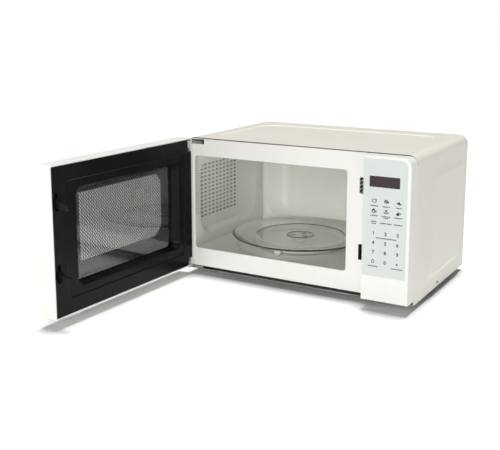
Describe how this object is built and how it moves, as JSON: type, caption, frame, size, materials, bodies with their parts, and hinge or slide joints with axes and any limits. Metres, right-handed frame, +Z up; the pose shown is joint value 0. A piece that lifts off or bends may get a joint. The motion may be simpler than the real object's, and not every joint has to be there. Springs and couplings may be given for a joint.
{
  "type": "microwave oven",
  "caption": "Compact countertop microwave oven with its side-hinged door open, a glass turntable, a flat keypad and its working parts inside.",
  "frame": {"origin": "on the standing surface, under the middle of the cabinet's footprint", "axes": "+X to the right seen from the front, +Y to the back, +Z up; the door is open towards -Y at the left"},
  "size_m": [0.4996, 0.6385, 0.258],
  "materials": {
    "cream_enamel": "semi-gloss powder coat, fine orange peel",
    "white_enamel": "semi-gloss baked enamel",
    "cavity_enamel": "semi-gloss grey-white oven enamel",
    "galvanised_steel": "zinc-coated sheet",
    "core_steel": "dull varnished laminations",
    "copper_winding": "enamelled copper wire under tape",
    "aluminium_can": "drawn can",
    "zinc": "zinc plate",
    "hinge_steel": "zinc-plated pressing",
    "grey_rubber": "matte",
    "dark_plastic": "matte",
    "black_plastic": "glossy moulded",
    "white_plastic": "satin",
    "grey_plastic": "satin",
    "wheel_plastic": "satin",
    "red_plastic": "satin",
    "panel_plastic": "satin moulded",
    "door_plastic": "satin moulded",
    "membrane_film": "fine matt film, printed",
    "display_lens": "glossy dark lens",
    "board_laminate": "phenolic laminate",
    "mica": "pressed mica",
    "screen_metal": "black oxide finish, perforated",
    "tray_glass": "clear pressed soda-lime glass, faint green",
    "lamp_glass": "clear bulb",
    "dark_window": "printed dark window with a clear middle",
    "clear_film": "clear plastic film"
  },
  "bodies": {
    "cabinet": {"outer_cabinet": "cream_enamel", "base_plate": "galvanised_steel", "foot_pads": "grey_rubber", "rear_panel": "cream_enamel", "cord_bushing": "dark_plastic", "case_screws": "zinc", "front_plate": "white_enamel", "cavity_left_wall": "cavity_enamel", "cavity_right_wall": "cavity_enamel", "cavity_ceiling": "cavity_enamel", "cavity_floor": "cavity_enamel", "turntable_well": "cavity_enamel", "cavity_back_wall": "cavity_enamel", "waveguide_cover": "mica", "waveguide": "galvanised_steel", "magnetron": "galvanised_steel", "transformer_core": "core_steel", "transformer_windings": "copper_winding", "hv_capacitor": "aluminium_can", "capacitor_clamp": "galvanised_steel", "hv_diode": "dark_plastic", "fan_motor": "core_steel", "fan_shroud": "white_plastic", "turntable_motor": "galvanised_steel", "oven_lamp": "lamp_glass", "lamp_holder": "white_plastic", "thermal_cutouts": "dark_plastic", "noise_filter_board": "board_laminate", "control_panel": "panel_plastic", "control_board": "board_laminate", "display_module": "dark_plastic", "display_window": "display_lens", "keypad_membrane": "membrane_film", "interlock_bracket": "white_plastic", "primary_switch": "dark_plastic", "secondary_switch": "dark_plastic", "monitor_switch": "dark_plastic", "upper_hinge": "hinge_steel", "lower_hinge": "hinge_steel"},
    "door": {"door_frame": "door_plastic", "door_fascia": "door_plastic", "door_window": "dark_window", "door_handle": "door_plastic", "door_inner_plate": "core_steel", "door_screen": "screen_metal", "choke_cover": "black_plastic", "door_film": "clear_film", "latch_spring": "zinc"},
    "latch": {"latch_bar": "black_plastic"},
    "coupler": {"turntable_shaft": "white_plastic", "turntable_coupler": "white_plastic"},
    "tray": {"glass_tray": "tray_glass"},
    "roller_ring": {"roller_ring": "white_plastic"},
    "wheel_a": {"roller_wheel_a": "wheel_plastic"},
    "wheel_b": {"roller_wheel_b": "wheel_plastic"},
    "wheel_c": {"roller_wheel_c": "wheel_plastic"},
    "fan": {"fan_blade": "grey_plastic"},
    "primary_button": {"primary_plunger": "red_plastic"},
    "secondary_button": {"secondary_plunger": "red_plastic"},
    "monitor_button": {"monitor_plunger": "red_plastic"}
  },
  "joints": [
    {"name": "door_hinge", "type": "hinge", "parent": "cabinet", "child": "door", "pos_m": [-0.2145, -0.145, 0.13], "axis": [0, 0, -1], "range_deg": [-92, 8]},
    {"name": "latch_slide", "type": "slide", "parent": "door", "child": "latch", "axis": [0, 0, 1], "range_m": [0, 0.004], "stiffness_N_per_m": 400, "springref_m": -0.004, "deforming": ["latch_spring"]},
    {"name": "turntable_spin", "type": "hinge", "parent": "cabinet", "child": "coupler", "pos_m": [-0.0535, -0.004, 0.05], "axis": [0, 0, 1], "continuous": true},
    {"name": "tray_lift", "type": "slide", "parent": "coupler", "child": "tray", "axis": [0, 0, 1], "range_m": [0, 0.03]},
    {"name": "roller_ring_spin", "type": "hinge", "parent": "cabinet", "child": "roller_ring", "pos_m": [-0.0535, -0.004, 0.05], "axis": [0, 0, 1], "continuous": true},
    {"name": "wheel_a_spin", "type": "hinge", "parent": "roller_ring", "child": "wheel_a", "pos_m": [0.02617, 0.042, 0.0533], "axis": [0.866, 0.5, 0], "continuous": true},
    {"name": "wheel_b_spin", "type": "hinge", "parent": "roller_ring", "child": "wheel_b", "pos_m": [-0.13317, 0.042, 0.0533], "axis": [-0.866, 0.5, 0], "continuous": true},
    {"name": "wheel_c_spin", "type": "hinge", "parent": "roller_ring", "child": "wheel_c", "pos_m": [-0.0535, -0.096, 0.0533], "axis": [0, -1, 0], "continuous": true},
    {"name": "fan_spin", "type": "hinge", "parent": "cabinet", "child": "fan", "pos_m": [0.1635, 0.1207, 0.15], "axis": [0, 1, 0], "continuous": true},
    {"name": "primary_press", "type": "slide", "parent": "cabinet", "child": "primary_button", "axis": [0, 1, 0], "range_m": [0, 0.0015], "stiffness_N_per_m": 200, "springref_m": -0.001},
    {"name": "secondary_press", "type": "slide", "parent": "cabinet", "child": "secondary_button", "axis": [0, 1, 0], "range_m": [0, 0.0015], "stiffness_N_per_m": 200, "springref_m": -0.001},
    {"name": "monitor_press", "type": "slide", "parent": "cabinet", "child": "monitor_button", "axis": [0, 0, -1], "range_m": [0, 0.0015], "stiffness_N_per_m": 200, "springref_m": -0.001}
  ],
  "couplings": [
    {"joint": "roller_ring_spin", "follows": "turntable_spin", "ratio": 0.5},
    {"joint": "wheel_a_spin", "follows": "turntable_spin", "ratio": -6.5714},
    {"joint": "wheel_b_spin", "follows": "turntable_spin", "ratio": -6.5714},
    {"joint": "wheel_c_spin", "follows": "turntable_spin", "ratio": -6.5714}
  ]
}
